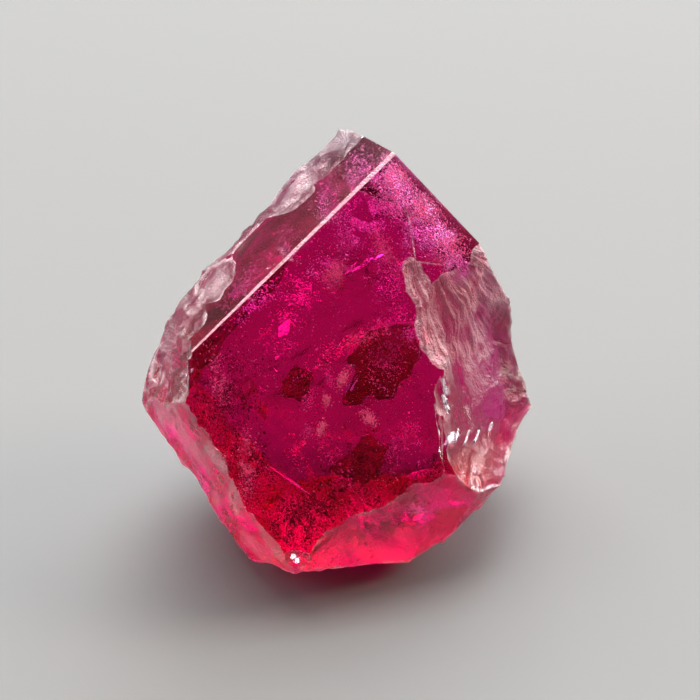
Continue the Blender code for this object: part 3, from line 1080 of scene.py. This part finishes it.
def loose_specks(chance, tree):
    """Placings for minute grains under the front face, thickest near it."""
    places = []
    while len(places) < SPECK_COUNT:
        depth = SPECK_DEPTH + abs(chance.gauss(0, SPECK_DEPTH_SPREAD))
        place = behind_front(chance.uniform(*SPECK_ALONG), chance.uniform(*SPECK_DOWN), depth)
        thick = sum(share * noise.noise(place / MM / size) for share, size in SPECK_PATCHES)
        if thick < chance.uniform(*SPECK_THINNING) or not is_inside(tree, place, SPECK_CLEARANCE):
            continue
        size = chance.uniform(*SPECK_SIZE) * MM
        turn = Matrix.Rotation(chance.uniform(0, 3), 4, SPECK_TURN_AXIS)
        places.append(Matrix.Translation(place) @ turn @ Matrix.Scale(size, 4))
    return places


def speck_material(name, colour):
    """Pinpoint grains in the beryl: pale ones catch the light as dust does, dark ones are painted shade
    that dulls it.
    """
    material = new_material(name)
    tree = material.node_tree
    shader = add_node(tree, "ShaderNodeBsdfPrincipled",
                      {"Base Color": linear(colour), "Roughness": 0.35, "Specular IOR Level": 0.5})
    add_node(tree, "ShaderNodeOutputMaterial", None, {"Surface": shader.outputs[0]})
    return material


class BERYL_OT_stone(bpy.types.Operator):
    """Make the crystal: a finer copy of the solid, whose breaks get their ripples and grain"""

    bl_idname = "beryl.stone"
    bl_label = "Crystal"

    def execute(self, context):
        settings = context.scene.beryl_stone
        stone = finer_copy(STONE_NAME, settings.coarseness)
        sculpt_breaks(stone)
        tree = search_tree(stone)
        flaws = placed_cracks(tree) + chips()
        make_active(stone)
        for flaw in flaws:
            flaw.select_set(True)
        bpy.ops.object.join()
        stone.data.materials.clear()
        stone.data.materials.append(beryl_material("red_beryl_grown_and_broken", settings))
        bpy.ops.object.shade_smooth_by_angle(angle=SMOOTH_SHADED_ANGLE)
        flat_layer = stone.data.attributes["flat"].data
        for face in stone.data.polygons:
            if flat_layer[face.index].value:
                face.use_smooth = False
        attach(stone, "root")
        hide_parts(NODE)
        return {"FINISHED"}


class BERYL_OT_healed_cracks(bpy.types.Operator):
    """Make the healed cracks: sheets of minute bubbles inside the crystal"""

    bl_idname = "beryl.healed_cracks"
    bl_label = "Healed Cracks"

    def execute(self, context):
        settings = context.scene.beryl_stone
        material = beryl_material("bubble_walls_in_red_beryl", settings, solid=False)
        tree = search_tree(bpy.data.objects[STONE_NAME])
        for name in HAZES:
            healed = bubbles(name, tree)
            healed.data.materials.append(material)
            make_active(healed)
            bpy.ops.object.shade_smooth()
            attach(healed, "root")
        return {"FINISHED"}


class BERYL_OT_specks(bpy.types.Operator):
    """Make the pale specks of dust, and the dark specks that paint shade, inside the crystal"""

    bl_idname = "beryl.specks"
    bl_label = "Specks"

    def execute(self, context):
        settings = context.scene.beryl_stone
        tree = search_tree(bpy.data.objects[STONE_NAME])
        chance = random.Random(SPECK_SEED)
        # The pale specks are dust; the dark specks are painted shade.
        for name, colour in (("pale_specks", settings.pale_speck_colour),
                             ("dark_specks", settings.painted_shade_speck_colour)):
            places = loose_specks(chance, tree) if name == "pale_specks" else []
            places += scattered(CLOUDS[name], chance, tree, SPECK_THICKNESS, SPECK_LEAN)
            dust_and_shade_specks = strewn(name, octahedron(False), places)
            dust_and_shade_specks.data.materials.append(speck_material(name + "_in_beryl", colour))
            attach(dust_and_shade_specks, "root")
        return {"FINISHED"}


# ---- Floor, lights and camera ----

FLOOR_SIZE = 2.0
FLOOR_GAP = 0.03 * MM
# The camera looks from -Y at a point above the floor, in front of the middle of the crystal.
AIM = Vector((0.24, -1.529, 4.85)) * MM
CAMERA_BEARING = -90
NEAREST_SEEN = 1.0 * MM
# The room's tint, and its brightness on the viewer's side and behind the crystal.
ROOM_TINT = "FBFCFF"
ROOM_DIM, ROOM_BRIGHT = 0.03, 0.34
# Each lamp's name, bearing, rise, distance and size in metres, watts and tint.
LAMPS = (
    ("lamp_behind", 105, 62, 0.40, 0.40, 5.20, "FFFDF9"),
    ("window_behind", 68, 32, 0.40, 0.42, 5.40, "F6FAFF"),
    ("softbox_left", 178, 28, 0.22, 0.16, 0.36, "F8FBFF"),
    ("lamp_right", 12, 34, 0.40, 0.16, 1.50, "FFEEDE"),
)


def add_light(name, bearing, rise, distance, size, watts, tint):
    """A square area light that faces the crystal."""
    lamp = bpy.data.lights.new(name, "AREA")
    lamp.size = size
    lamp.energy = watts
    lamp.color = linear(tint)[:3]
    holder = bpy.data.objects.new(name, lamp)
    holder.location = direction(bearing, rise) * distance
    holder.rotation_euler = holder.location.to_track_quat("Z", "Y").to_euler()
    bpy.context.scene.collection.objects.link(holder)


def studio_world():
    """A pale room that is bright behind the crystal and dim on the viewer's side."""
    world = bpy.data.worlds.new("studio")
    world.use_nodes = True
    tree = world.node_tree
    sight = add_node(tree, "ShaderNodeTexCoord").outputs["Generated"]
    parts = add_node(tree, "ShaderNodeSeparateXYZ", None, {0: sight}).outputs
    back = add_node(tree, "ShaderNodeMapRange",
                    {"From Min": -0.5, "From Max": 0.6, "To Min": ROOM_DIM, "To Max": ROOM_BRIGHT},
                    {"Value": parts["Y"]}).outputs["Result"]
    tree.links.new(back, tree.nodes["Background"].inputs["Strength"])
    tree.nodes["Background"].inputs["Color"].default_value = linear(ROOM_TINT)
    return world


class BERYL_OT_stage(bpy.types.Operator):
    """Make the floor, the soft lights and the camera"""

    bl_idname = "beryl.stage"
    bl_label = "Stage"

    def execute(self, context):
        studio = context.scene.beryl_studio
        scene = context.scene
        deselect_all()
        bpy.ops.mesh.primitive_plane_add(size=FLOOR_SIZE)
        floor = context.object
        floor.name = "floor"
        floor.data.transform(Matrix.Translation((0.0, 0.0, -FLOOR_GAP)))
        floor.data.materials.append(floor_material())
        for lamp in LAMPS:
            add_light(*lamp)
        scene.world = studio_world()
        camera = bpy.data.objects.new("camera", bpy.data.cameras.new("camera"))
        camera.data.lens = studio.lens
        camera.data.clip_start = NEAREST_SEEN
        towards = direction(CAMERA_BEARING, math.degrees(studio.view_rise))
        camera.location = AIM + towards * studio.view_distance
        camera.rotation_euler = (math.pi / 2 - studio.view_rise, 0.0, 0.0)
        scene.collection.objects.link(camera)
        scene.camera = camera
        scene.view_settings.view_transform = "Standard"
        return {"FINISHED"}


class BERYL_PT_panel(bpy.types.Panel):
    """Lists the steps that dress the crystal"""

    bl_idname = "BERYL_PT_panel"
    bl_label = "Red Beryl Crystal"
    bl_space_type = "VIEW_3D"
    bl_region_type = "UI"
    bl_category = "Beryl"

    def draw(self, context):
        column = self.layout.column()
        for step in STEPS:
            column.operator(step.bl_idname)


SETTINGS = (BerylStoneSettings, BerylStudioSettings)
STEPS = (BERYL_OT_stone, BERYL_OT_healed_cracks, BERYL_OT_specks, BERYL_OT_stage)


def register():
    """Register the settings, the steps and the panel."""
    for kind in (*SETTINGS, *STEPS, BERYL_PT_panel):
        bpy.utils.register_class(kind)
    bpy.types.Scene.beryl_stone = PointerProperty(type=BerylStoneSettings)
    bpy.types.Scene.beryl_studio = PointerProperty(type=BerylStudioSettings)


def unregister():
    """Remove what register added."""
    del bpy.types.Scene.beryl_studio
    del bpy.types.Scene.beryl_stone
    for kind in (BERYL_PT_panel, *reversed(STEPS), *reversed(SETTINGS)):
        bpy.utils.unregister_class(kind)


def main():
    """Build every piece and the stage."""
    register()
    bpy.ops.beryl.stone()
    bpy.ops.beryl.healed_cracks()
    bpy.ops.beryl.specks()
    bpy.ops.beryl.stage()


if __name__ == "__main__":
    main()
